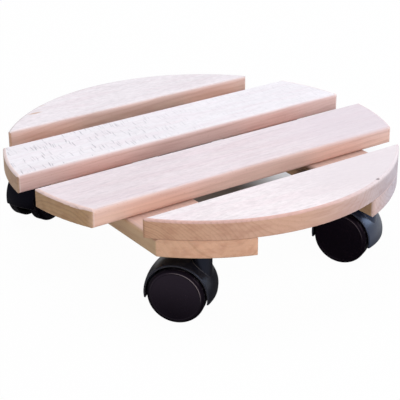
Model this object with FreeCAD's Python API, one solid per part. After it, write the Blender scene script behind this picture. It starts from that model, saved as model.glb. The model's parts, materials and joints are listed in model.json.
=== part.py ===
"""Round rolling plant stand: four beech slats on two crossbars, carried by four twin-wheel casters.

Millimetres, +Z up, origin on the floor under the middle of the deck.
X runs along the slats and Y along the crossbars; -Y is the front.
"""

import FreeCAD, Part
from FreeCAD import Placement, Rotation, Vector

import math
import os

# Deck: boards cut to one round outline
deck_radius = 145.0
slat_thickness = 13.5
slat_gap = 24.0              # each of the two gaps behind
front_gap = 27.6             # between the two front slats
crossbar_thickness = 13.5
crossbar_width = 56.6
crossbar_setback = 67.9      # rim of the deck to the middle of a crossbar
slat_round = 3.0             # upper long edges of a slat
slat_under_round = 2.0       # lower long edges of a slat
rim_round = 2.0              # upper edge of the slats' round outline
crossbar_round = 2.4         # long edges of a crossbar, and its lower rim
joint_round = 0.4            # rims where slats and crossbars meet
corner_round = 2.0           # upright corners of a board

# Screws that hold the slats, driven up through the crossbars
screw_length = 25.0
screw_radius = 1.75
screw_head_radius = 3.5
screw_tip = 4.0
screw_point = 0.3
screw_recess_length = 4.2
screw_recess_width = 1.0
screw_recess_depth = 1.4
screw_across = 15.0          # either side of the crossbar's middle
screw_along = 12.0           # either side of a middle slat's middle
screw_near_edge = 8.5        # front and back slats: from the straight edge to the nearer screw
screw_far_edge = 24.0        # front and back slats: from the straight edge to the farther screw
screw_fit = 0.05             # gap between a screw and its hole

# Casters: places, and the way each one points at rest
caster_rim_margin = 17.0     # rim of the deck to the swivel axis
caster_inset = 4.6           # swivel axis inboard of the crossbar's middle
trail = 14.8                 # swivel axis to axle
front_left_heading = -50.0
front_right_heading = -62.5
back_left_heading = 24.0
back_right_heading = -20.0

# Wheels
wheel_radius = 20.0
wheel_width = 9.6
wheel_edge = 2.6             # rounding where the tread meets the outer face
wheel_dome = 0.7             # crown of the outer face
wheel_disc = 2.4             # thickness of the outer face
wheel_rim = 2.3              # thickness of the tread ring
wheel_draft = 0.4
wheel_bevel = 0.8            # inner edge of the tread
hub_wall = 2.4
rib_count = 6
rib_thickness = 1.4
rib_setback = 2.5            # ribs end this far inside the tread ring

# Hood: crowned cover, web between the wheels, neck for the stem
hood_wall = 1.2              # at the rims of the cover
hood_crown = 1.4             # the cover is this much larger at its middle than at its rims
hood_rim_setback = 2.5       # outer face of a wheel to the rim of the cover
hood_rim_chamfer = 0.5
hood_skirt = 4.0             # the cover reaches this far below the axle
web_skin = 0.8               # side of the web outside the keeper ring's groove
web_wall = 2.2               # side of the web where it is cored
neck_wall = 2.6
neck_rise = 4.0              # top of the neck above the crown of the cover
neck_chamfer = 0.7
axle_boss_wall = 4.0
wheel_clearance = 1.4        # tread to the inside of the cover
web_clearance = 0.5          # wheel to the web
hub_clearance = 0.3          # hub to the web

# Axle
axle_radius = 2.5
axle_chamfer = 0.4
axle_end_gap = 0.3           # end of the axle to the bottom of the hub's bore
axle_fit = 0.05              # running gap in the hub
axle_press = 0.01            # gap left by the press fit in the web
snap_depth = 0.4             # groove that keeps the wheel on the axle
snap_width = 1.6
snap_ridge = 0.8
snap_setback = 2.0           # groove to the end of the axle

# Stem, its two spring rings and its socket
stem_radius = 4.0
stem_fit = 0.05              # running gap in the neck
stem_seat = 22.0             # depth of the stem's bore in the neck
stem_chamfer = 0.6
stem_end_gap = 0.3
collar_thickness = 1.2
collar_width = 2.0           # the collar stands out this far from the stem
swivel_clearance = 0.3       # collar to the neck
socket_length = 20.0
socket_wall = 1.2
socket_clearance = 0.3       # stem to the inside of the socket
socket_press = 0.02          # gap left by the press fit in the wood
socket_end_gap = 0.5         # socket to the bottom of its hole
flange_width = 3.5           # the flange stands out this far from the sleeve
flange_thickness = 1.5
ring_split = 40.0            # degrees left open in both spring rings
ring_gap = 0.05              # spring ring to the walls it bears on
grip_ring_height = 4.0
grip_ring_depth = 0.7        # groove in the stem
grip_ring_drop = 5.0         # top of the stem to the ring
keeper_ring_height = 1.0
keeper_ring_depth = 0.6      # groove in the stem
keeper_ring_proud = 0.6      # reach of the ring into the neck's groove
keeper_ring_rise = 3.0       # end of the stem to the ring
keeper_ring_swell = 0.2      # fuller half way up
keeper_ring_room = 0.2       # ring to the neck's groove

# Levels, from the floor up
axle_z = wheel_radius
well_radius = wheel_radius + wheel_clearance
cover_rim_radius = well_radius + hood_wall
cover_radius = cover_rim_radius + hood_crown
neck_top = axle_z + cover_radius + neck_rise
collar_bottom = neck_top + swivel_clearance
collar_top = collar_bottom + collar_thickness
crossbar_bottom = collar_top + flange_thickness
crossbar_top = crossbar_bottom + crossbar_thickness
deck_top = crossbar_top + slat_thickness

# Places in the deck, from the back to the front
crossbar_x = deck_radius - crossbar_setback
caster_x = crossbar_x - caster_inset
caster_y = math.sqrt((deck_radius - caster_rim_margin) ** 2 - caster_x ** 2)
slat_width = (2 * deck_radius - 2 * slat_gap - front_gap) / 4
back_slat_edge = deck_radius - slat_width
mid_back_far = back_slat_edge - slat_gap
mid_back_near = mid_back_far - slat_width
mid_front_far = mid_back_near - slat_gap
mid_front_near = mid_front_far - slat_width
front_slat_edge = slat_width - deck_radius

# Places along the axle, from the caster's middle
keeper_groove_radius = stem_radius + keeper_ring_proud + keeper_ring_room
web_half = keeper_groove_radius + web_skin
wheel_inner = web_half + web_clearance
wheel_face = wheel_inner + wheel_width
cover_half = wheel_face - hood_rim_setback
hub_inner = web_half + hub_clearance
disc_inside = wheel_face - wheel_disc
axle_half = disc_inside - axle_end_gap
snap_start = axle_half - snap_setback - snap_width

# Places along the stem
bore_bottom = neck_top - stem_seat
stem_bottom = bore_bottom + stem_end_gap
socket_bore = stem_radius + socket_clearance
socket_radius = socket_bore + socket_wall
flange_radius = socket_radius + flange_width
collar_radius = stem_radius + collar_width
socket_top = crossbar_bottom + socket_length
stem_top = socket_top - socket_end_gap
grip_z = stem_top - grip_ring_drop - grip_ring_height
keeper_z = stem_bottom + keeper_ring_rise

slat_sides = {
    "slat_back": (back_slat_edge, 2 * deck_radius),
    "slat_mid_back": (mid_back_near, mid_back_far),
    "slat_mid_front": (mid_front_near, mid_front_far),
    "slat_front": (-2 * deck_radius, front_slat_edge),
}
casters = {
    "front_left": (-caster_x, -caster_y, front_left_heading),
    "front_right": (caster_x, -caster_y, front_right_heading),
    "back_left": (-caster_x, caster_y, back_left_heading),
    "back_right": (caster_x, caster_y, back_right_heading),
}

origin = Vector(0, 0, 0)
along_y = Vector(0, 1, 0)
along_z = Vector(0, 0, 1)
full_turn = 360.0
tolerance = 1e-3


def spun(points, place, axis, angle=full_turn):
    """Solid of revolution of a closed outline; a pair of points (middle, end) draws an arc."""
    edges = []
    here = place(*points[0])
    for step in points[1:] + points[:1]:
        if isinstance(step[0], tuple):
            middle, end = (place(*p) for p in step)
            edges.append(Part.Arc(here, middle, end).toShape())
        else:
            end = place(*step)
            edges.append(Part.LineSegment(here, end).toShape())
        here = end
    return Part.Face(Part.Wire(edges)).revolve(origin, axis, angle)


def about_z(points, angle=full_turn):
    """Solid of revolution about Z from (radius, height) points."""
    return spun(points, lambda r, z: Vector(r, 0, z), along_z, angle)


def about_y(points):
    """Solid of revolution about Y from (distance along Y, radius) points."""
    return spun(points, lambda y, r: Vector(0, y, r), along_y)


def quarter(centre, radius, start, turn=1):
    """Middle and end of a quarter arc from the angle start; turn is 1 to the left, -1 to the right."""
    angles = [math.radians(start + turn * a) for a in (45, 90)]
    return tuple((centre[0] + radius * math.cos(a), centre[1] + radius * math.sin(a)) for a in angles)


def round_outline(bottom, top, bottom_round, top_round):
    """The deck's round outline between two levels, with its rims rounded."""
    bottom_inside = deck_radius - bottom_round
    top_inside = deck_radius - top_round
    return about_z([
        (0, bottom),
        (bottom_inside, bottom),
        quarter((bottom_inside, bottom + bottom_round), bottom_round, -90),
        (deck_radius, top - top_round),
        quarter((top_inside, top - top_round), top_round, 0),
        (0, top),
    ])


def board(corner, size, long_rounds, rim_rounds):
    """A plank cut to the deck's outline, with its holes; the roundings are pairs of lower and upper."""
    levels = (corner.z, corner.z + size.z)
    plank = Part.makeBox(size.x, size.y, size.z, corner)
    blank = plank.common(Part.makeCylinder(deck_radius, size.z, Vector(0, 0, corner.z)))
    upright = [edge for edge in blank.Edges if edge.BoundBox.ZLength > size.z - tolerance]
    blank = blank.makeFillet(corner_round, upright)
    for level, rounding in zip(levels, long_rounds):
        long_edges = [edge for edge in plank.Edges if edge.Length > 2 * deck_radius]
        level_edges = [edge for edge in long_edges if abs(edge.CenterOfMass.z - level) < tolerance]
        plank = plank.makeFillet(rounding, level_edges)
    plank = plank.common(round_outline(*levels, *rim_rounds)).common(blank)
    for side in (-1, 1):
        for x, y in screw_places(side):
            plank = plank.cut(screw_body(x, y, screw_fit))
    for x, y, _ in casters.values():
        hole = Part.makeCylinder(socket_radius + socket_press, socket_length + socket_end_gap)
        hole.translate(Vector(x, y, crossbar_bottom))
        plank = plank.cut(hole)
    return plank


def slat(low, high):
    """One slat of the deck, between two places across it."""
    corner = Vector(-2 * deck_radius, low, crossbar_top)
    size = Vector(4 * deck_radius, high - low, slat_thickness)
    return board(corner, size, (slat_under_round, slat_round), (joint_round, rim_round))


def crossbar(side):
    """One crossbar; side is -1 for the left one and 1 for the right one."""
    corner = Vector(side * crossbar_x - crossbar_width / 2, -2 * deck_radius, crossbar_bottom)
    size = Vector(crossbar_width, 4 * deck_radius, crossbar_thickness)
    return board(corner, size, (crossbar_round, crossbar_round), (crossbar_round, joint_round))


def screw_places(side):
    """Where the screws of one crossbar stand: two under each slat, clear of the casters."""
    inboard = side * (crossbar_x - screw_across)
    outboard = side * (crossbar_x + screw_across)
    mid_back = (mid_back_near + mid_back_far) / 2
    mid_front = (mid_front_near + mid_front_far) / 2
    places = []
    for end, middle, edge in ((1, mid_back, back_slat_edge), (-1, mid_front, front_slat_edge)):
        places.append((inboard, middle + end * screw_along))
        places.append((outboard, middle - end * screw_along))
        places.append((inboard, edge + end * screw_far_edge))
        places.append((outboard, edge + end * screw_near_edge))
    return places


def screw_body(x, y, gap=0.0):
    """Countersunk wood screw with its head flush in the crossbar; gap widens it into its hole."""
    shank = screw_radius + gap
    body = about_z([
        (0, 0),
        (screw_head_radius + gap, 0),
        (shank, screw_head_radius - screw_radius),
        (shank, screw_length - screw_tip),
        (screw_point + gap, screw_length + gap),
        (0, screw_length + gap),
    ])
    body.translate(Vector(x, y, crossbar_bottom))
    return body


def screw(x, y):
    """A screw with its cross recess."""
    body = screw_body(x, y)
    slot = Part.makeBox(screw_recess_length, screw_recess_width, screw_recess_depth)
    slot.translate(Vector(-screw_recess_length / 2, -screw_recess_width / 2, 0))
    for angle in (0, 90):
        arm = slot.rotated(origin, along_z, angle)
        body = body.cut(arm.translated(Vector(x, y, crossbar_bottom)))
    return body


def socket():
    """Flanged sleeve pressed up through the crossbar into the slat; it holds the stem."""
    foot = crossbar_bottom - flange_thickness
    return about_z([
        (socket_bore, foot),
        (flange_radius, foot),
        (flange_radius, crossbar_bottom),
        (socket_radius, crossbar_bottom),
        (socket_radius, socket_top),
        (socket_bore, socket_top),
    ])


def stem():
    """Steel stem with a collar, a groove for the grip ring and one for the keeper ring."""
    keeper_groove = stem_radius - keeper_ring_depth
    grip_groove = stem_radius - grip_ring_depth
    return about_z([
        (0, stem_bottom),
        (stem_radius - stem_chamfer, stem_bottom),
        (stem_radius, stem_bottom + stem_chamfer),
        (stem_radius, keeper_z),
        (keeper_groove, keeper_z),
        (keeper_groove, keeper_z + keeper_ring_height),
        (stem_radius, keeper_z + keeper_ring_height),
        (stem_radius, collar_bottom),
        (collar_radius, collar_bottom),
        (collar_radius, collar_top),
        (stem_radius, collar_top),
        (stem_radius, grip_z),
        (grip_groove, grip_z),
        (grip_groove, grip_z + grip_ring_height),
        (stem_radius, grip_z + grip_ring_height),
        (stem_radius, stem_top - stem_chamfer),
        (stem_radius - stem_chamfer, stem_top),
        (0, stem_top),
    ])


def spring_ring(groove, edge, swell, bottom, height):
    """Open ring in a groove of the stem; its outside swells from edge to swell half way up."""
    inner = groove + ring_gap
    low = bottom + ring_gap
    high = bottom + height - ring_gap
    return about_z([
        (inner, low),
        (edge, low),
        ((swell, (low + high) / 2), (edge, high)),
        (inner, high),
    ], full_turn - ring_split)


def grip_ring():
    """Spring ring that grips the inside of the socket."""
    return spring_ring(stem_radius - grip_ring_depth, stem_radius, socket_bore - ring_gap,
                       grip_z, grip_ring_height)


def keeper_ring():
    """Spring ring that keeps the hood on the stem."""
    reach = stem_radius + keeper_ring_proud
    return spring_ring(stem_radius - keeper_ring_depth, reach - keeper_ring_swell, reach,
                       keeper_z, keeper_ring_height)


def across_axle(radius, half):
    """Cylinder on the axle, reaching half to either side of the caster's middle."""
    return Part.makeCylinder(radius, 2 * half, Vector(-trail, -half, axle_z), along_y)


def hood():
    """Moulded hood: crowned cover over both wheels, cored web between them, neck for the stem."""
    shell = about_y([
        (-cover_half, 0),
        (-cover_half, cover_rim_radius - hood_rim_chamfer),
        (-cover_half + hood_rim_chamfer, cover_rim_radius),
        ((0, cover_radius), (cover_half - hood_rim_chamfer, cover_rim_radius)),
        (cover_half, cover_rim_radius - hood_rim_chamfer),
        (cover_half, 0),
    ])
    shell.translate(Vector(-trail, 0, axle_z))
    span = 4 * cover_radius
    below = Part.makeBox(span, span, span)
    below.translate(Vector(-trail - span / 2, -span / 2, axle_z - hood_skirt - span))
    shell = shell.cut(below)

    bore_radius = stem_radius + stem_fit
    neck_radius = bore_radius + neck_wall
    neck = about_z([
        (0, bore_bottom - web_wall),
        (neck_radius, bore_bottom - web_wall),
        (neck_radius, neck_top - neck_chamfer),
        (neck_radius - neck_chamfer, neck_top),
        (0, neck_top),
    ])
    body = shell.fuse(neck)
    for side in (-1, 1):
        start = Vector(-trail, side * web_half, axle_z)
        body = body.cut(Part.makeCylinder(well_radius, 2 * wheel_face, start, along_y * side))

    axle_bore_radius = axle_radius + axle_press
    boss = across_axle(axle_bore_radius + axle_boss_wall, web_half)
    neck_side = Part.makeBox(span, span, 2 * span)
    neck_side.translate(Vector(-bore_radius - web_wall, -span / 2, axle_z - span))
    core = across_axle(well_radius, web_half - web_wall).cut(neck_side).cut(boss)
    body = body.cut(core).fuse(boss)

    stem_bore = Part.makeCylinder(bore_radius, stem_seat, Vector(0, 0, bore_bottom))
    ring_groove = Part.makeCylinder(keeper_groove_radius, keeper_ring_height + 2 * keeper_ring_room)
    ring_groove.translate(Vector(0, 0, keeper_z - keeper_ring_room))
    axle_bore = across_axle(axle_bore_radius, 2 * web_half)
    return body.cut(stem_bore).cut(ring_groove).cut(axle_bore).removeSplitter()


def axle():
    """Steel pin pressed through the web, with a groove near each end that the wheels snap into."""
    groove_radius = axle_radius - snap_depth
    half = [
        (snap_start, axle_radius),
        (snap_start, groove_radius),
        (snap_start + snap_width, groove_radius),
        (snap_start + snap_width, axle_radius),
        (axle_half - axle_chamfer, axle_radius),
        (axle_half, axle_radius - axle_chamfer),
        (axle_half, 0),
    ]
    pin = about_y([(-y, r) for y, r in reversed(half)] + half)
    pin.translate(Vector(-trail, 0, axle_z))
    return pin


def wheel(side):
    """Moulded wheel, closed and domed outside, ribbed inside; side is the end of the axle it is on."""
    bore_radius = axle_radius + axle_fit
    hub_radius = bore_radius + hub_wall
    ridge_radius = bore_radius - snap_depth + 2 * axle_fit
    ridge_start = snap_start + (snap_width - snap_ridge) / 2
    ring_inside = wheel_radius - wheel_rim
    face_radius = wheel_radius - wheel_edge
    shoulder = wheel_face - wheel_dome
    ball = (face_radius ** 2 + wheel_dome ** 2) / (2 * wheel_dome)
    face_middle = wheel_face - ball + math.sqrt(ball ** 2 - (face_radius / 2) ** 2)
    body = about_y([
        (hub_inner, bore_radius),
        (hub_inner, hub_radius),
        (disc_inside, hub_radius),
        (disc_inside, ring_inside - wheel_draft),
        (wheel_inner, ring_inside),
        (wheel_inner, wheel_radius - wheel_bevel),
        (wheel_inner + wheel_bevel, wheel_radius),
        (shoulder - wheel_edge, wheel_radius),
        quarter((shoulder - wheel_edge, face_radius), wheel_edge, 90, -1),
        ((face_middle, face_radius / 2), (wheel_face, 0)),
        (disc_inside, 0),
        (disc_inside, bore_radius),
        (ridge_start + snap_ridge, bore_radius),
        (ridge_start + snap_ridge, ridge_radius),
        (ridge_start, ridge_radius),
        (ridge_start, bore_radius),
    ])
    rib_start = wheel_inner + rib_setback
    rib_foot = hub_radius - hub_wall / 2
    for k in range(rib_count):
        rib = Part.makeBox(rib_thickness, disc_inside - rib_start, ring_inside - rib_foot)
        rib.translate(Vector(-rib_thickness / 2, rib_start, rib_foot))
        rib.rotate(origin, along_y, k * full_turn / rib_count)
        body = body.fuse(rib)
    body = body.removeSplitter()
    if side < 0:
        body.rotate(origin, along_z, full_turn / 2)
    body.translate(Vector(-trail, 0, axle_z))
    return body


def export(name, shape):
    shape.exportStep(os.path.join("parts", name + ".step"))


os.makedirs("parts", exist_ok=True)

for name, (low, high) in slat_sides.items():
    export(name, slat(low, high))

for name, side in (("left", -1), ("right", 1)):
    export("crossbar_" + name, crossbar(side))
    export("slat_screws_" + name, Part.makeCompound([screw(x, y) for x, y in screw_places(side)]))

caster_pieces = {
    "socket": socket(),
    "stem": stem(),
    "grip_ring": grip_ring(),
    "keeper_ring": keeper_ring(),
    "hood": hood(),
    "axle": axle(),
    "left_wheel": wheel(1),
    "right_wheel": wheel(-1),
}
for corner, (x, y, heading) in casters.items():
    place = Placement(Vector(x, y, 0), Rotation(along_z, heading))
    for name, shape in caster_pieces.items():
        placed = shape.copy()
        placed.Placement = place.multiply(placed.Placement)
        export(corner + "_" + name, placed)
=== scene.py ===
"""Looks of the rolling plant stand: beech boards, black nylon casters and steel fittings.

The part's own frame: X along the slats, Y along the crossbars, Z up from the floor. The stage is in metres,
and the textures and marks of the pieces are in millimetres. Pairs of numbers named FROM, FADE, RISE, LEAN
and the like are where a mask is 0 and where it is 1.
"""

import json
import math

import bpy
from mathutils import Matrix, Vector


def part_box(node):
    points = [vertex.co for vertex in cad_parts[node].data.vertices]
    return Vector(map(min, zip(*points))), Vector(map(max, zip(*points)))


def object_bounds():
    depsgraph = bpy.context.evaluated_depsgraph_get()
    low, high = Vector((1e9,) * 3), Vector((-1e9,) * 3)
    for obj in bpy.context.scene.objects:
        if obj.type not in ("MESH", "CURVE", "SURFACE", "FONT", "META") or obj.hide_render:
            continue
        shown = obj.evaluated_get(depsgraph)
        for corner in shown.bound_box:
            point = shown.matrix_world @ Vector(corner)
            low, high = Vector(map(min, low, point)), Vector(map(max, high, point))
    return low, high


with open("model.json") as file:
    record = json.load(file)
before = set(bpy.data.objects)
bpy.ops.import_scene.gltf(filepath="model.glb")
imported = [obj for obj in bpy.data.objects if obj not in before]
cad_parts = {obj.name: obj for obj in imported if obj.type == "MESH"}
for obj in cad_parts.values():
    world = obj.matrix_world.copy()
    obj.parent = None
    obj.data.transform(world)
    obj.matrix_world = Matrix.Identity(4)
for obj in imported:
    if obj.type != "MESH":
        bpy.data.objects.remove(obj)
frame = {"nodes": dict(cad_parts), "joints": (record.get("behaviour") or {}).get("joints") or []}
cad_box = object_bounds()

MM = 0.001
PER_METRE = 1000.0
CORNERS = ("front_left", "front_right", "back_left", "back_right")
SIDES = ("left", "right")
LEVEL_PLANE = (1.0, 1.0, 0.0)        # axes that count for a distance over the floor
WHEEL_PLANE = (1.0, 0.0, 1.0)        # for one from an axle
RING_PLANE = (0.0, 1.0, 1.0)         # for one from the pith of a board

# Places in the stand, in millimetres
bar_low, bar_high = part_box("crossbar_left")
DECK_RADIUS = cad_box[1][1] * PER_METRE
DECK_TOP = cad_box[1][2] * PER_METRE
JOINT_LEVEL = bar_high.z * PER_METRE                    # where the slats lie on the crossbars
ON_TOP = (DECK_TOP - JOINT_LEVEL) / 2                   # from the middle of a slat up to its top
ON_SIDE = (bar_high.x - bar_low.x) / 2 * PER_METRE      # from the middle of a crossbar out to its side

# Camera, fitted to the photograph
CAMERA_AZIMUTH = math.radians(-34.86)
CAMERA_ELEVATION = math.radians(24.54)
CAMERA_ROLL = math.radians(-0.16)
CAMERA_DISTANCE = 0.968
CAMERA_TARGET = Vector((-0.0009, 0.0, 0.0274))
CAMERA_LENS = 115.4
CAMERA_SENSOR = 36.0

# Stage and light
FLOOR_RADIUS = 6.0
FLOOR_SIDES = 96
FLOOR_COLOUR = (0.80, 0.80, 0.80, 1.0)
FLOOR_GLOW = 0.975                   # share of plain white that the open floor shows besides its own shading
SHADE_MIDDLE = (0.100, 0.108, 0.0)   # the stand's shade on the floor, which falls to the back right
SHADE_REACH = (0.155, 0.135, 1.0)
SHADE_FADE = (0.70, 1.00)
DARK_MIDDLE = (0.040, 0.062, 0.0)    # painted deepest shade, under the deck
DARK_REACH = (0.066, 0.060, 1.0)
DARK_FADE = (0.45, 1.15)
PAINTED_FLOOR_SHADE = (0.20, 0.165, 0.14, 1.0)
SHADE_ROUND = (0.125, 0.215)         # painted shade round the stand, as gloss mirrors it
SHADE_LEFT = 0.06                    # light left in that shade
WORLD_COLOUR = (0.93, 0.96, 1.0, 1.0)
WORLD_STRENGTH = 0.38
WHITE = (1.0, 1.0, 1.0, 1.0)
LAMPS = {
    # name: place, width, watts, colour
    "overhead": ((0.1, 0.5, 1.7), 1.4, 18.5, (0.94, 0.96, 1.0)),
    "right": ((1.6, -0.3, 0.7), 0.9, 10.0, (0.68, 0.83, 1.0)),
    "front": ((0.1, -1.7, 0.8), 0.9, 14.0, (1.0, 0.93, 0.87)),
}

BEVEL_SAMPLES = 8
EDGE_LEAN = (0.01, 0.16)             # of the rounded normal away from the face
NOISE_MIDDLE = 0.5
TEXTURES = {
    # name: lengths of its noise along x, y and z, detail, roughness; x is along the grain of a board
    "sway": ((150.0, 45.0, 45.0), 2.0, 0.5),
    "ripple": ((24.0, 7.0, 7.0), 3.0, 0.5),
    "fibre": ((26.0, 0.55, 0.55), 3.0, 0.6),
    "cloud": ((75.0, 24.0, 24.0), 2.0, 0.5),
    "flame": ((55.0, 7.0, 5.0), 3.0, 0.6),
    "strand": ((110.0, 3.2, 3.2), 1.5, 0.5),
    "mottle": ((4.5, 2.0, 2.0), 2.0, 0.5),
    "fleck_bend": ((9.0, 9.0, 9.0), 2.0, 0.5),
    "hood_skin": ((0.35, 0.35, 0.35), 3.0, 0.5),
    "hood_cloud": ((9.0, 9.0, 9.0), 3.0, 0.5),
    "hood_scuff": ((0.8, 5.0, 1.2), 4.0, 0.65),
    "wheel_skin": ((0.35, 0.35, 0.35), 2.0, 0.5),
    "wheel_cloud": ((7.0, 7.0, 7.0), 3.0, 0.5),
    "wheel_scuff": ((1.4, 1.0, 1.4), 4.0, 0.7),
    "sleeve_skin": ((0.4, 0.4, 0.4), 3.0, 0.5),
    "sleeve_cloud": ((6.0, 6.0, 6.0), 2.0, 0.5),
    "steel_drawn": ((3.0, 3.0, 0.12), 3.0, 0.5),
    "steel_stain": ((4.0, 4.0, 4.0), 3.0, 0.5),
}


class Shader:
    """A material's or a world's nodes in the making; each helper adds nodes and hands back their output."""

    def __init__(self, name, kind="materials"):
        self.block = getattr(bpy.data, kind).new(name)
        self.block.use_nodes = True
        self.nodes = self.block.node_tree.nodes
        self.links = self.block.node_tree.links
        self.nodes.clear()

    def add(self, kind, inputs, **settings):
        node = self.nodes.new("ShaderNode" + kind)
        for name, value in settings.items():
            setattr(node, name, value)
        for key, value in inputs.items():
            if isinstance(value, bpy.types.NodeSocket):
                self.links.new(value, node.inputs[key])
            else:
                node.inputs[key].default_value = value
        return node

    def math(self, operation, *values):
        return self.add("Math", dict(enumerate(values)), operation=operation).outputs[0]

    def times(self, product, *values):
        for value in values:
            product = self.math("MULTIPLY", product, value)
        return product

    def apart(self, value, other):
        """Distance between two values."""
        return self.math("ABSOLUTE", self.math("SUBTRACT", value, other))

    def vector(self, operation, *values):
        node = self.add("VectorMath", dict(enumerate(values)), operation=operation)
        return node.outputs["Value" if operation in ("LENGTH", "DOT_PRODUCT") else "Vector"]

    def split(self, vector):
        return self.add("SeparateXYZ", {0: vector}).outputs

    def join(self, x, y, z):
        return self.add("CombineXYZ", {0: x, 1: y, 2: z}).outputs[0]

    def step(self, value, zero, one):
        """0 at and beyond zero, 1 at and beyond one, smooth between them; either may be the larger."""
        inputs = {"Value": value, "From Min": zero, "From Max": one}
        return self.add("MapRange", inputs, interpolation_type="SMOOTHSTEP").outputs[0]

    def span(self, value, low, high):
        """A value from 0 to 1 spread from low to high."""
        inputs = {"Value": value, "To Min": low, "To Max": high}
        return self.add("MapRange", inputs).outputs[0]

    def stretch(self, vector, lengths):
        """Coordinates counted in lengths, one for each axis."""
        return self.vector("DIVIDE", vector, lengths)

    def radius(self, vector, plane):
        """Distance from the origin in one plane."""
        return self.vector("LENGTH", self.vector("MULTIPLY", vector, plane))

    def noise(self, vector, detail, rough=0.5):
        inputs = {"Vector": vector, "Scale": 1.0, "Detail": detail, "Roughness": rough}
        return self.add("TexNoise", inputs).outputs[0]

    def texture(self, place, name):
        lengths, detail, rough = TEXTURES[name]
        return self.noise(self.stretch(place, lengths), detail, rough)

    def cells(self, vector, **settings):
        return self.add("TexVoronoi", {"Vector": vector, "Scale": 1.0}, **settings).outputs

    def ramp(self, value, stops):
        """Grey that runs straight from stop to stop, each a value and its level."""
        node = self.add("ValToRGB", {0: value})
        elements = node.color_ramp.elements
        while len(elements) < len(stops):
            elements.new(1.0)
        for element, (place, level) in zip(elements, stops):
            element.position = place
            element.color = (level, level, level, 1.0)
        return node.outputs[0]

    def mix(self, factor, first, second, blend="MIX"):
        inputs = {0: factor, 6: first, 7: second}
        return self.add("Mix", inputs, data_type="RGBA", blend_type=blend).outputs[2]

    def bump(self, height, strength, depth, **normal):
        """Normal over a relief whose height, from 0 to 1, stands for depth millimetres."""
        inputs = {"Height": height, "Strength": strength, "Distance": depth * MM, **normal}
        return self.add("Bump", inputs).outputs[0]

    def rounded_edges(self, reach):
        """Normal rounded over the edges, and how far it leans from the face: 1 on an edge, 0 away from it."""
        rounded = self.add("Bevel", {"Radius": reach * MM}, samples=BEVEL_SAMPLES).outputs[0]
        facing = self.vector("DOT_PRODUCT", rounded, self.add("NewGeometry", {}).outputs["Normal"])
        return rounded, self.step(self.math("SUBTRACT", 1.0, facing), *EDGE_LEAN)

    def finish(self, inputs):
        shader = self.add("BsdfPrincipled", inputs)
        self.add("OutputMaterial", {"Surface": shader.outputs[0]})
        return self.block


def opaque(colour):
    return (*colour, 1.0)


def local(s, origin, turn):
    """Millimetres from origin, turned about Z by -turn."""
    back = Matrix.Rotation(-turn, 3, "Z")
    inputs = {
        "Vector": s.add("TexCoord", {}).outputs["Object"],
        "Location": -(back @ Vector(origin)) * PER_METRE,
        "Rotation": (0.0, 0.0, -turn),
        "Scale": (PER_METRE,) * 3,
    }
    return s.add("Mapping", inputs).outputs[0]


# Boards. grain: angle of the fibres to X; pith: the tree's middle, across and up from the board's own;
# lean: its slope across and up; ring: width of a growth ring; seed: shifts the textures; top, side, end and
# rim: colours, the pale top partly painted sky light and the rim painted light and shade on its rounding;
# figure, lines and mottle: strength on top; rings: strength on sides and on ends; arc: radius of one darker
# ring
BOARDS = {
    "slat_back": dict(
        grain=0.0, pith=(30.0, -70.0), lean=(0.02, 0.05), ring=3.0, seed=3.0,
        top=(0.80, 0.735, 0.75), side=(0.65, 0.455, 0.38), end=(0.62, 0.35, 0.21), rim=(0.70, 0.63, 0.63),
        figure=0.12, lines=0.15, rings=(0.26, 0.26), mottle=0.22),
    "slat_mid_back": dict(
        grain=0.0, pith=(-20.0, 55.0), lean=(0.015, 0.03), ring=2.6, seed=11.0,
        top=(0.845, 0.80, 0.82), side=(0.69, 0.48, 0.45), end=(0.50, 0.33, 0.22), rim=(0.85, 0.69, 0.66),
        figure=0.10, lines=0.1, rings=(0.26, 0.25), mottle=0.14),
    "slat_mid_front": dict(
        grain=0.0, pith=(4.0, -38.0), lean=(-0.01, 0.03), ring=2.8, seed=23.0,
        top=(0.79, 0.695, 0.712), side=(0.79, 0.53, 0.455), end=(0.52, 0.325, 0.18), rim=(0.86, 0.65, 0.605),
        figure=0.15, lines=0.7, rings=(0.26, 0.36), mottle=0.16),
    "slat_front": dict(
        grain=0.0, pith=(30.0, -15.0), lean=(0.03, 0.06), ring=1.4, seed=37.0,
        top=(0.875, 0.795, 0.80), side=(0.625, 0.385, 0.285), end=(0.60, 0.35, 0.22), rim=(0.71, 0.45, 0.40),
        figure=0.14, lines=0.2, rings=(0.40, 0.40), mottle=0.25),
    "crossbar_left": dict(
        grain=math.pi / 2, pith=(-12.0, 20.0), lean=(0.01, 0.03), ring=3.4, seed=51.0,
        top=(0.72, 0.49, 0.405), side=(0.63, 0.43, 0.26), end=(0.71, 0.42, 0.285), rim=(0.62, 0.37, 0.25),
        figure=0.30, lines=0.6, rings=(0.20, 0.10), mottle=0.08, arc=24.6),
    "crossbar_right": dict(
        grain=math.pi / 2, pith=(-24.0, 34.0), lean=(0.02, 0.02), ring=3.0, seed=67.0,
        top=(0.72, 0.49, 0.405), side=(0.50, 0.33, 0.19), end=(0.70, 0.44, 0.33), rim=(0.62, 0.37, 0.25),
        figure=0.30, lines=0.6, rings=(0.20, 0.20), mottle=0.08),
}
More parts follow.
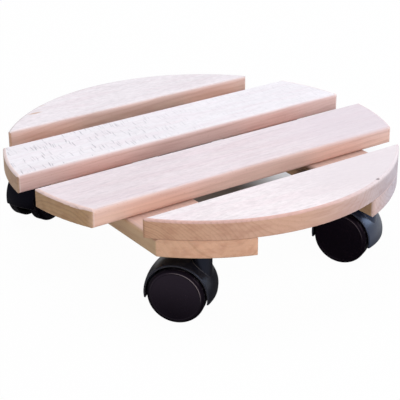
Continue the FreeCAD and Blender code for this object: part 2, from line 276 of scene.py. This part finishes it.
MARKS = {
    # board: place from its middle (along, across, up), reach, colour, strength
    "slat_back": [      # a knot and its tail
        ((-76.0, -2.5, ON_TOP), (8.0, 2.2, 3.0), (0.60, 0.40, 0.31, 1.0), 0.9),
        ((-64.0, 9.0, ON_TOP), (6.0, 1.2, 3.0), (0.66, 0.50, 0.44, 1.0), 0.5)],
    "slat_mid_front": [     # a darker and a warmer stretch of the front side, and a duller right end
        ((20.0, -27.0, -2.0), (80.0, 6.0, 14.0), (0.62, 0.45, 0.40, 1.0), 0.40),
        ((-105.0, -27.0, -2.0), (60.0, 6.0, 14.0), (0.93, 0.63, 0.49, 1.0), 0.35),
        ((115.0, 0.0, ON_TOP), (95.0, 60.0, 4.0), (0.72, 0.63, 0.665, 1.0), 0.60)],
    "slat_front": [     # a duller right half, and a nick
        ((70.0, 5.0, ON_TOP), (110.0, 50.0, 4.0), (0.77, 0.69, 0.705, 1.0), 0.80),
        ((55.0, -14.4, ON_TOP - 0.15), (2.6, 1.2, 1.4), (0.16, 0.13, 0.13, 1.0), 0.9)],
    "crossbar_right": [     # painted shade on the left side, over the front gap
        ((-76.0, ON_SIDE, 0.0), (34.0, 8.0, 14.0), (0.05, 0.033, 0.027, 1.0), 1.0)],
}
MARK_FADE = (1.0, 0.25)
MARK_FRAY = 0.8                         # how far the fibres fray a mark's edge

# Growth rings
SEED_SHIFT = 100.0
SWAY = 9.0
RIPPLE = 1.6
LATE_WOOD = ((0.0, 0.0), (0.45, 0.12), (0.86, 1.0), (1.0, 0.0))     # darkness through one ring
RING_SPREAD = (0.3, 1.0)                # faintest and strongest ring
RING_BROWN = (0.40, 0.22, 0.13, 1.0)
RING_DARK = (0.22, 0.13, 0.07, 1.0)     # on the ends
FIGURE_SHARE = 0.34                     # of a board's figure, on top
ARC_FADE = (1.2, 0.2)
ARC_SHARE = 0.40

# Fine lines along the grain
LINE_FADE = (0.04, 0.0)
LINE_SHARES = (0.10, 0.34)              # on the sides and on top
LINE_MAUVE = (0.50, 0.40, 0.44, 1.0)

# Pores
PORE_CELL = (2.4, 0.45, 0.45)
PORE_CHANCE = 0.14
PORE_FADE = (0.42, 0.14)
PORE_SHARES = (0.36, 0.20)              # on the sides and on top

# Dark rays on one slat
FLECKED = "slat_mid_back"
FLECK_TURN = 1.75
FLECK_BEND = (-2.0, 2.0)
FLECK_CELL = (19.0, 2.0, 1.0)
FLECK_CHANCE = 0.7
FLECK_FADE = (0.32, 0.12)
FLECK_SPREAD = (0.15, 1.0)              # faintest and strongest ray
FLECK_RIGHT = (-70.0, 40.0)             # where they thin out
FLECK_SHARES = (0.48, 0.12)             # to the left and to the right
FLECK_RISE = (0.9, 0.99)
FLECK_GREY = (0.20, 0.19, 0.22, 1.0)

# Faces, by the upward part of the normal or by its part along the grain
TOP_RISE = (0.45, 1.0)
UPRIGHT_RISE = (0.8, 0.2)
RIM_RISE = (0.10, 0.40)
END_LEAN = (0.25, 0.9)
RIM_FROM = (DECK_RADIUS - 2.38, DECK_RADIUS - 1.68)    # where the rounding of the deck's rim starts
JOINT_CLEAR = (0.2, 1.2)                # distance from the joint of slats and crossbars
JOINT_SHADOW = (0.72, 1.0)              # tone at that joint and away from it

# Tints of the faces
ROSY_SIDE = (0.84, 0.76, 0.75, 1.0)     # streaks on the sides, times their colour
ROSY_SIDE_FADE = (0.42, 0.68)
ROSY_SIDE_SHARE = 0.75
ROSY_TOP = (0.98, 0.95, 0.957, 1.0)     # streaks on top, times its colour
ROSY_TOP_FADE = (0.42, 0.66)
UPPER_LIT_SLATS = ("slat_back", "slat_mid_back", "slat_mid_front")
UPPER_SIDE_LIGHT = (0.84, 0.63, 0.61, 1.0)         # painted light: paler upper part of a slat's long sides, whose lower part the slat in front shades
UPPER_LIGHT_FROM = (DECK_TOP - 9.5, DECK_TOP - 1.0)
UPPER_LIGHT_SHARE = 0.45
RIGHT_LIGHT_FROM = {"slat_front": (-35.0, 85.0), "crossbar_right": (15.0, 85.0)}   # painted light from the right, paler towards the right
RIGHT_LIT_WOOD = (0.50, 0.44, 0.48, 1.0)
RIGHT_LIT_RIM = (0.68, 0.54, 0.54, 1.0)
CLOUD_TONE = (-0.10, 0.10)
FIBRE_TONE = (-0.09, 0.09)
TONE_SHARES = (1.0, 0.75)               # on the sides and on top

# Wear and painted highlights on the edges, relief and gloss of the wood
WOOD_EDGE = 1.1
PALE_WEAR_AND_HIGHLIGHT = (0.86, 0.70, 0.66, 1.0)
EDGE_PALE_SHARE = 0.45
# Painted highlights on the upright corners at the slats' ends
SQUARE_CORNER = ((0.08, 0.30), (0.65, 0.45), 0.6)      # where it starts and stops along the rim, share
CUT_CORNER = ((0.79, 0.90), (1.2, 1.1), 0.3)           # goes on to the end
CORNER_HIGHLIGHTS = {"slat_back": CUT_CORNER, "slat_mid_back": SQUARE_CORNER, "slat_mid_front": SQUARE_CORNER}
FIBRE_RELIEF = 0.5
RING_RELIEF = -0.25
PORE_RELIEF = -0.6
WOOD_BUMP = (0.5, 0.06)                 # strength, depth
WOOD_ROUGH = (0.46, 0.60)
END_ROUGH = 0.10
WOOD_IOR = 1.45
WOOD_GLOSS = 0.18


class Board(Shader):
    """Planed beech with its rings, rays, pores and fibres, as one solid figure through the board."""

    def __init__(self, node):
        super().__init__("beech_" + node)
        self.node = node
        self.look = BOARDS[node]
        grain = self.look["grain"]
        low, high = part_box(node)
        self.place = local(self, (low + high) / 2, grain)
        self.shifted = self.vector("ADD", self.place, (self.look["seed"] * SEED_SHIFT, 0.0, 0.0))
        self.fibre = self.texture(self.shifted, "fibre")
        self.flame = self.texture(self.shifted, "flame")
        self.ring, self.from_pith = self.rings()
        self.pore = self.pores()

        stand = self.stretch(self.add("TexCoord", {}).outputs["Object"], (MM, MM, MM))
        self.right, _, self.level = self.split(stand)
        self.rim = self.step(self.radius(stand, LEVEL_PLANE), *RIM_FROM)
        self.clear = self.step(self.apart(self.level, JOINT_LEVEL), *JOINT_CLEAR)
        normal = self.add("NewGeometry", {}).outputs["Normal"]
        self.rise = self.split(normal)[2]
        grain_way = (math.cos(grain), math.sin(grain), 0.0)
        self.endways = self.math("ABSOLUTE", self.vector("DOT_PRODUCT", normal, grain_way))
        self.end = self.step(self.endways, *END_LEAN)
        self.top = self.step(self.rise, *TOP_RISE)
        self.upright = self.step(self.rise, *UPRIGHT_RISE)
        self.worn_normal, worn = self.rounded_edges(WOOD_EDGE)
        self.worn = self.times(worn, self.clear)

    def rings(self):
        """Late wood of the growth rings, 0 to 1, each of its own strength; and the distance to the pith."""
        across, up = self.look["pith"]
        lean_across, lean_up = self.look["lean"]
        turn = (0.0, lean_up, lean_across)
        inputs = {"Vector": self.place, "Location": (0.0, -across, -up), "Rotation": turn}
        distance = self.radius(self.add("Mapping", inputs).outputs[0], RING_PLANE)
        for name, reach in (("sway", SWAY), ("ripple", RIPPLE)):
            swing = self.math("SUBTRACT", self.texture(self.shifted, name), NOISE_MIDDLE)
            distance = self.math("MULTIPLY_ADD", swing, reach, distance)
        count = self.math("DIVIDE", distance, self.look["ring"])
        late = self.ramp(self.math("FRACT", count), LATE_WOOD)
        own = self.add("TexWhiteNoise", {"W": self.math("FLOOR", count)}, noise_dimensions="1D").outputs[0]
        return self.times(late, self.span(own, *RING_SPREAD)), distance

    def pores(self):
        """Short dark vessels along the grain, in some of the cells they are strewn over."""
        cell = self.cells(self.stretch(self.shifted, PORE_CELL))
        chosen = self.math("LESS_THAN", self.split(cell["Color"])[0], PORE_CHANCE)
        return self.times(chosen, self.step(cell["Distance"], *PORE_FADE))

    def flecks(self):
        """Thin dark rays that run a little askew across the board, thinning out to the right."""
        turned = self.add("Mapping", {"Vector": self.place, "Rotation": (0.0, 0.0, FLECK_TURN)}).outputs[0]
        bend = self.span(self.texture(self.place, "fleck_bend"), *FLECK_BEND)
        bent = self.vector("ADD", turned, self.join(0.0, bend, 0.0))
        cell = self.cells(self.stretch(bent, FLECK_CELL), voronoi_dimensions="2D")
        chance, depth, _ = self.split(cell["Color"])
        chosen = self.math("LESS_THAN", chance, FLECK_CHANCE)
        ray = self.times(self.step(cell["Distance"], *FLECK_FADE), chosen, self.span(depth, *FLECK_SPREAD))
        return self.times(ray, self.span(self.step(self.split(self.place)[0], *FLECK_RIGHT), *FLECK_SHARES))

    def side_and_rim(self):
        """Colour of the sides and ends, and of the rounded rim."""
        side, end, rim = (opaque(self.look[key]) for key in ("side", "end", "rim"))
        side = self.mix(self.times(self.end, self.upright), side, end)
        # Painted light from the right: paler, cooler rim towards the right end
        if self.node in RIGHT_LIGHT_FROM:
            right_light = self.times(self.step(self.right, *RIGHT_LIGHT_FROM[self.node]), self.rim)
            side = self.mix(right_light, side, RIGHT_LIT_WOOD)
            rim = self.mix(right_light, rim, RIGHT_LIT_RIM)
        rosy = self.mix(1.0, side, ROSY_SIDE, blend="MULTIPLY")
        side = self.mix(self.times(self.step(self.flame, *ROSY_SIDE_FADE), ROSY_SIDE_SHARE), side, rosy)
        # Painted light on the upper part of the long sides
        if self.node in UPPER_LIT_SLATS:
            upper = self.times(self.step(self.level, *UPPER_LIGHT_FROM), self.math("SUBTRACT", 1.0, self.rim))
            side = self.mix(self.times(upper, UPPER_LIGHT_SHARE), side, UPPER_SIDE_LIGHT)
        return side, rim

    def faces(self):
        """Colour of the whole board before its figure, paler on its edges with wear and a painted highlight.
        """
        side, rim = self.side_and_rim()
        plain = opaque(self.look["top"])
        rosy = self.mix(1.0, plain, ROSY_TOP, blend="MULTIPLY")
        # The pale top colour is partly painted light: the sky's sheen on the tops
        colour = self.mix(self.top, side, self.mix(self.step(self.flame, *ROSY_TOP_FADE), plain, rosy))
        # Paler edges: wear, and a painted highlight where the rounding catches light
        colour = self.mix(self.times(self.worn, EDGE_PALE_SHARE), colour, PALE_WEAR_AND_HIGHLIGHT)
        # Painted highlight on the upright corners at the ends
        if self.node in CORNER_HIGHLIGHTS:
            start, stop, share = CORNER_HIGHLIGHTS[self.node]
            corner = self.times(self.step(self.endways, *start), self.step(self.endways, *stop))
            colour = self.mix(self.times(corner, self.upright, share), colour, PALE_WEAR_AND_HIGHLIGHT)
        # Painted light and shade on the upper rounding of the rim
        return self.mix(self.times(self.rim, self.step(self.rise, *RIM_RISE)), colour, rim)

    def figured(self, colour):
        """A colour with the growth rings and the fine lines on it."""
        beside = self.span(self.end, *self.look["rings"])
        share = self.times(self.ring, self.span(self.top, beside, FIGURE_SHARE * self.look["figure"]))
        colour = self.mix(share, colour, self.mix(self.end, RING_BROWN, RING_DARK))
        if "arc" in self.look:
            arc = self.step(self.apart(self.from_pith, self.look["arc"]), *ARC_FADE)
            colour = self.mix(self.times(arc, self.end, ARC_SHARE), colour, RING_BROWN)
        line = self.step(self.apart(self.texture(self.shifted, "strand"), NOISE_MIDDLE), *LINE_FADE)
        beside, above = (share * self.look["lines"] for share in LINE_SHARES)
        return self.mix(self.times(line, self.span(self.top, beside, above)), colour, LINE_MAUVE)

    def toned(self, colour):
        """A colour made uneven by clouds, fibres and mottling, and darker at the joints."""
        cloud = self.span(self.texture(self.shifted, "cloud"), *CLOUD_TONE)
        tone = self.math("ADD", cloud, self.span(self.fibre, *FIBRE_TONE))
        reach = self.look["mottle"]
        mottle = self.span(self.texture(self.shifted, "mottle"), -reach, reach)
        tone = self.math("MULTIPLY_ADD", self.top, mottle, tone)
        clear = self.math("MAXIMUM", self.math("MAXIMUM", self.clear, self.rim), self.top)
        shadow = self.span(clear, *JOINT_SHADOW)
        tone = self.math("MULTIPLY_ADD", tone, self.span(self.top, *TONE_SHARES), shadow)
        return self.mix(1.0, colour, self.join(tone, tone, tone), blend="MULTIPLY")

    def marked(self, colour):
        """A colour with the pores, flecks, knots, a nick and other patches on it, one of them painted shade.
        """
        colour = self.mix(self.times(self.pore, self.span(self.top, *PORE_SHARES)), colour, RING_BROWN)
        if self.node == FLECKED:
            share = self.times(self.flecks(), self.step(self.rise, *FLECK_RISE))
            colour = self.mix(share, colour, FLECK_GREY)
        for middle, reach, tint, strength in MARKS.get(self.node, ()):
            away = away_from(self, self.place, middle, reach)
            fray = self.math("SUBTRACT", self.fibre, NOISE_MIDDLE)
            away = self.math("MULTIPLY_ADD", fray, MARK_FRAY, away)
            colour = self.mix(self.times(self.step(away, *MARK_FADE), strength), colour, tint)
        return colour

    def material(self):
        relief = self.times(self.fibre, FIBRE_RELIEF)
        relief = self.math("MULTIPLY_ADD", self.ring, RING_RELIEF, relief)
        relief = self.math("MULTIPLY_ADD", self.pore, PORE_RELIEF, relief)
        return self.finish({
            "Base Color": self.marked(self.toned(self.figured(self.faces()))),
            "Roughness": self.math("MULTIPLY_ADD", self.end, END_ROUGH, self.span(self.fibre, *WOOD_ROUGH)),
            "Normal": self.bump(relief, *WOOD_BUMP, Normal=self.worn_normal),
            "IOR": WOOD_IOR,
            "Specular IOR Level": WOOD_GLOSS,
        })


def away_from(s, place, middle, reach):
    """Distance of a place from the middle of a patch, 1 on its edge."""
    return s.vector("LENGTH", s.stretch(s.vector("SUBTRACT", place, middle), reach))


def caster_place(corner):
    """Middle of a caster's axle and the angle it points to."""
    joint = next(j for j in frame["joints"] if j["name"] == corner + "_left_wheel_spin")
    across = joint["axis"]
    return Vector(joint["pos_m"]), math.atan2(-across[0], across[1])


# Nylon of hoods and wheels
BLACK = (0.0038, 0.0024, 0.0048, 1.0)
BLACK_WORN = (0.022, 0.017, 0.026, 1.0)
DUST = (0.20, 0.19, 0.20, 1.0)
NYLON_IOR = 1.5

# Hoods
HOODS = {
    # corner: gloss, colour of the nylon, both set per corner as painted light: bluer and glossier where a
    # hood mirrors the sky, darker where it is in shade
    "front_left": (0.22, (0.008, 0.0075, 0.011, 1.0)),
    "front_right": (0.52, (0.013, 0.017, 0.034, 1.0)),
    "back_left": (0.05, BLACK),
    "back_right": (0.15, BLACK),
}
# Blue tint of the hoods' reflections, a painted sky
HOOD_TINT = (0.52, 0.66, 1.0, 1.0)
HOOD_EDGE = 0.6
# Paler lip: wear and a painted highlight line
EDGE_GREY = (0.17, 0.15, 0.15, 1.0)
EDGE_SHARE = 0.7
SEAM_FADE = (0.16, 0.06)                # parting line, by the distance from the hood's middle
DUST_RISE = (0.3, 1.0)
DUST_FADE = (0.4, 0.75)
DUST_SHARE = 0.03
HOOD_SCUFF_FADE = (0.62, 0.78)
HOOD_SCUFF_SHARE = 0.35
HOOD_SCUFF_ROUGH = 0.12
HOOD_ROUGH = (0.26, 0.36)
HOOD_SKIN_RELIEF = 0.5
HOOD_BUMP = (0.35, 0.05)                # strength, depth

# Wheels, with lengths from the axle or in from the tread
WHEEL_TINT = (0.95, 0.72, 1.0, 1.0)
TREAD_FROM = (0.7, 0.1)
TREAD_DUST_SHARE = 0.30
TREAD_SCUFF_FADE = (0.5, 0.75)
TREAD_ROUGH = 0.25
SHOULDER_FROM = (2.3, 1.4)
DISC_ROUGH = (0.16, 0.24)
WHEEL_GLOSS = (0.20, 0.04)              # on the disc and on the shoulder, which is kept dull as painted shade under the hood's lip
BEAD_IN = 2.9                           # middle of the fine bead round the disc
BEAD_FADE = (0.7, 0.0)
BEAD_BUMP = (1.0, 0.2)
SHINE = (0.50, 0.42, 0.43, 1.0)         # painted highlight that the bead catches
SHINE_WAY = (0.57, -0.40, 0.72)         # up and to the right in the photograph
SHINE_LEAN = (0.0, 0.3)
SHINE_UP = (-0.3, 0.3)
SHINE_SHARE = 0.8
MIDDLE_SOFT = 1.0                       # keeps the way round the axle from breaking up in its middle
MIDDLE_FLAT = (3.0, 6.0)                # the middle of the disc has flat normals, and the rest smooth ones
TURNING = 2.2                           # turning marks to a millimetre
TURNING_DETAIL = 3.0
TURNING_FROM = (1.0, 6.0)
TURNING_FADE = (0.55, 0.8)
TURNING_SHARE = 0.25
WHEEL_RELIEF = 0.4
WHEEL_BUMP = (0.2, 0.05)

# Sleeves and steel
SLEEVE_FADE = (0.4, 0.8)
SLEEVE_ROUGH = (0.50, 0.65)
SLEEVE_BUMP = (0.4, 0.05)
STEELS = {
    # name: colour, colour of its stains, roughness
    "drawn_steel": ((0.60, 0.60, 0.58, 1.0), (0.42, 0.41, 0.40, 1.0), 0.22),
    "spring_steel": ((0.38, 0.38, 0.40, 1.0), (0.24, 0.23, 0.22, 1.0), 0.30),
    "yellow_zinc": ((0.72, 0.60, 0.36, 1.0), (0.60, 0.44, 0.30, 1.0), 0.28),
}
STAIN_FADE = (0.45, 0.8)
STEEL_ROUGHER = 0.16                    # spread of the roughness
STEEL_BUMP = (0.25, 0.02)
FITTINGS = {"stem": "drawn_steel", "axle": "drawn_steel", "grip_ring": "spring_steel",
            "keeper_ring": "spring_steel"}


def hood_plastic(corner):
    """Black moulded nylon with a fine spark-eroded skin, a parting line and a little dust on top, and painted
    light in its corner's tint and gloss and on its lip.
    """
    s = Shader("nylon_hood_" + corner)
    gloss, nylon = HOODS[corner]
    place = local(s, *caster_place(corner))
    skin = s.texture(place, "hood_skin")
    cloud = s.texture(place, "hood_cloud")
    seam = s.step(s.math("ABSOLUTE", s.split(place)[1]), *SEAM_FADE)
    rise = s.split(s.add("NewGeometry", {}).outputs["Normal"])[2]
    dust = s.times(s.step(rise, *DUST_RISE), s.step(cloud, *DUST_FADE))
    scuff = s.step(s.texture(place, "hood_scuff"), *HOOD_SCUFF_FADE)
    rounded, worn = s.rounded_edges(HOOD_EDGE)
    # The corner's own tint and gloss carry painted light
    colour = s.mix(s.times(scuff, HOOD_SCUFF_SHARE), nylon, BLACK_WORN)
    colour = s.mix(s.times(dust, DUST_SHARE), colour, DUST)
    colour = s.mix(s.times(worn, EDGE_SHARE), colour, EDGE_GREY)
    relief = s.math("MULTIPLY_ADD", skin, HOOD_SKIN_RELIEF, seam)
    return s.finish({
        "Base Color": colour,
        "Roughness": s.math("MULTIPLY_ADD", scuff, HOOD_SCUFF_ROUGH, s.span(cloud, *HOOD_ROUGH)),
        "Normal": s.bump(relief, *HOOD_BUMP, Normal=rounded),
        "IOR": NYLON_IOR,
        "Specular IOR Level": gloss,
        "Specular Tint": HOOD_TINT,
    })


def wheel_plastic(corner):
    """Black nylon wheel: glossy disc with turning marks and a fine bead that carries a painted highlight, a
    shoulder kept dull as painted shade, dull dusty tread.
    """
    s = Shader("nylon_wheel_" + corner)
    axle, heading = caster_place(corner)
    place = local(s, axle, heading)
    radius = s.radius(place, WHEEL_PLANE)
    inward = s.math("SUBTRACT", axle.z * PER_METRE, radius)
    soft_radius = s.math("ADD", radius, MIDDLE_SOFT)
    x, _, z = s.split(place)
    round_x = s.math("DIVIDE", x, soft_radius)
    round_z = s.math("DIVIDE", z, soft_radius)
    turned = s.noise(s.join(s.times(radius, TURNING), round_x, round_z), TURNING_DETAIL)
    turned = s.times(turned, s.step(radius, *TURNING_FROM))
    tread = s.step(inward, *TREAD_FROM)
    shoulder = s.step(inward, *SHOULDER_FROM)
    bead = s.step(s.apart(inward, BEAD_IN), *BEAD_FADE)
    scuff = s.step(s.texture(place, "wheel_scuff"), *TREAD_SCUFF_FADE)
    cloud = s.texture(place, "wheel_cloud")
    skin = s.texture(place, "wheel_skin")

    faces = s.add("NewGeometry", {}).outputs
    normals = {0: s.step(radius, *MIDDLE_FLAT), 4: faces["True Normal"], 5: faces["Normal"]}
    normal = s.add("Mix", normals, data_type="VECTOR").outputs[1]
    beaded = s.bump(bead, *BEAD_BUMP, Normal=normal)
    leaning = s.step(s.vector("DOT_PRODUCT", beaded, SHINE_WAY), *SHINE_LEAN)
    shine = s.times(bead, leaning, s.step(round_z, *SHINE_UP))
    colour = s.mix(s.times(s.step(turned, *TURNING_FADE), TURNING_SHARE), BLACK, BLACK_WORN)
    colour = s.mix(s.times(tread, scuff, TREAD_DUST_SHARE), colour, DUST)
    # Painted highlight on the bead
    colour = s.mix(s.times(shine, SHINE_SHARE), colour, SHINE)
    relief = s.times(s.math("ADD", skin, turned), WHEEL_RELIEF)
    return s.finish({
        "Base Color": colour,
        "Roughness": s.math("MULTIPLY_ADD", tread, TREAD_ROUGH, s.span(cloud, *DISC_ROUGH)),
        "Normal": s.bump(relief, *WHEEL_BUMP, Normal=beaded),
        "IOR": NYLON_IOR,
        "Specular IOR Level": s.span(shoulder, *WHEEL_GLOSS),
        "Specular Tint": WHEEL_TINT,
    })


def sleeve_plastic():
    """Matt black sleeve with a fine moulded skin."""
    s = Shader("sleeve_plastic")
    place = local(s, (0.0, 0.0, 0.0), 0.0)
    skin = s.texture(place, "sleeve_skin")
    cloud = s.texture(place, "sleeve_cloud")
    return s.finish({
        "Base Color": s.mix(s.step(cloud, *SLEEVE_FADE), BLACK, BLACK_WORN),
        "Roughness": s.span(skin, *SLEEVE_ROUGH),
        "Normal": s.bump(skin, *SLEEVE_BUMP),
    })


def steel(name):
    """Drawn or plated steel with fine rings round it and faint stains."""
    s = Shader(name)
    tint, stained, rough = STEELS[name]
    place = local(s, (0.0, 0.0, 0.0), 0.0)
    drawn = s.texture(place, "steel_drawn")
    stain = s.texture(place, "steel_stain")
    return s.finish({
        "Base Color": s.mix(s.step(stain, *STAIN_FADE), tint, stained),
        "Metallic": 1.0,
        "Roughness": s.span(drawn, rough, rough + STEEL_ROUGHER),
        "Normal": s.bump(drawn, *STEEL_BUMP),
    })


def dress(node, material):
    mesh = frame["nodes"][node].data
    mesh.materials.clear()
    mesh.materials.append(material)


def dress_all():
    for node in BOARDS:
        dress(node, Board(node).material())
    steels = {name: steel(name) for name in STEELS}
    sleeve = sleeve_plastic()
    for side in SIDES:
        dress("slat_screws_" + side, steels["yellow_zinc"])
    for corner in CORNERS:
        dress(corner + "_hood", hood_plastic(corner))
        wheels = wheel_plastic(corner)
        for side in SIDES:
            dress(corner + "_" + side + "_wheel", wheels)
        dress(corner + "_socket", sleeve)
        for fitting, name in FITTINGS.items():
            dress(corner + "_" + fitting, steels[name])


def floor():
    """Pale floor that shows plain white to the eye and in gloss, but for the stand's own shade, deepened by
    painted shade under the deck and, in gloss, round the stand.
    """
    bpy.ops.mesh.primitive_circle_add(vertices=FLOOR_SIDES, radius=FLOOR_RADIUS, fill_type="NGON")
    piece = bpy.context.object
    piece.name = "floor"
    s = Shader("floor_paper")
    place = s.add("TexCoord", {}).outputs["Object"]
    unshaded = s.step(away_from(s, place, SHADE_MIDDLE, SHADE_REACH), *SHADE_FADE)
    lit = s.step(away_from(s, place, DARK_MIDDLE, DARK_REACH), *DARK_FADE)
    # Painted shade: the floor's colour darkens under the deck
    paper = s.mix(lit, PAINTED_FLOOR_SHADE, FLOOR_COLOUR)
    # Painted shade in gloss round the stand
    mirrored = s.span(s.step(s.vector("LENGTH", place), *SHADE_ROUND), SHADE_LEFT, FLOOR_GLOW)
    path = s.add("LightPath", {}).outputs
    eye = path["Is Camera Ray"]
    gloss = s.math("MAXIMUM", path["Is Glossy Ray"], path["Is Transmission Ray"])
    share = s.math("MULTIPLY_ADD", s.times(eye, unshaded), FLOOR_GLOW, gloss)
    diffuse = s.add("BsdfDiffuse", {"Color": paper}).outputs[0]
    strength = s.math("MULTIPLY_ADD", gloss, mirrored, eye)
    glow = s.add("Emission", {"Color": WHITE, "Strength": strength}).outputs[0]
    mixed = s.add("MixShader", {0: share, 1: diffuse, 2: glow}).outputs[0]
    s.add("OutputMaterial", {"Surface": mixed})
    piece.data.materials.append(s.block)


def sky():
    """Pale daylight that shows plain white to the eye, in gloss and through clear pieces."""
    s = Shader("studio", "worlds")
    path = s.add("LightPath", {}).outputs
    mirrored = s.math("MAXIMUM", path["Is Glossy Ray"], path["Is Transmission Ray"])
    seen = s.math("MAXIMUM", path["Is Camera Ray"], mirrored)
    light = s.add("Background", {"Color": WORLD_COLOUR, "Strength": WORLD_STRENGTH}).outputs[0]
    white = s.add("Background", {"Color": WHITE, "Strength": 1.0}).outputs[0]
    mixed = s.add("MixShader", {0: seen, 1: light, 2: white}).outputs[0]
    s.add("OutputWorld", {"Surface": mixed})
    bpy.context.scene.world = s.block


def lamps():
    for name, (place, width, watts, colour) in LAMPS.items():
        data = bpy.data.lights.new(name, "AREA")
        data.shape = "DISK"
        data.size = width
        data.energy = watts
        data.color = colour
        lamp = bpy.data.objects.new(name, data)
        lamp.location = place
        lamp.rotation_mode = "QUATERNION"
        lamp.rotation_quaternion = (CAMERA_TARGET - lamp.location).to_track_quat("-Z", "Y")
        bpy.context.scene.collection.objects.link(lamp)


def camera():
    data = bpy.data.cameras.new("camera")
    data.lens = CAMERA_LENS
    data.sensor_width = CAMERA_SENSOR
    piece = bpy.data.objects.new("camera", data)
    flat = math.cos(CAMERA_ELEVATION)
    back = Vector((math.sin(CAMERA_AZIMUTH) * flat, -math.cos(CAMERA_AZIMUTH) * flat,
                   math.sin(CAMERA_ELEVATION)))
    piece.location = CAMERA_TARGET + back * CAMERA_DISTANCE
    level = (-back).to_track_quat("-Z", "Y").to_matrix()
    piece.rotation_euler = (level @ Matrix.Rotation(CAMERA_ROLL, 3, "Z")).to_euler()
    bpy.context.scene.collection.objects.link(piece)
    bpy.context.scene.camera = piece


dress_all()
floor()
sky()
lamps()
camera()
bpy.context.scene.view_settings.view_transform = "Standard"
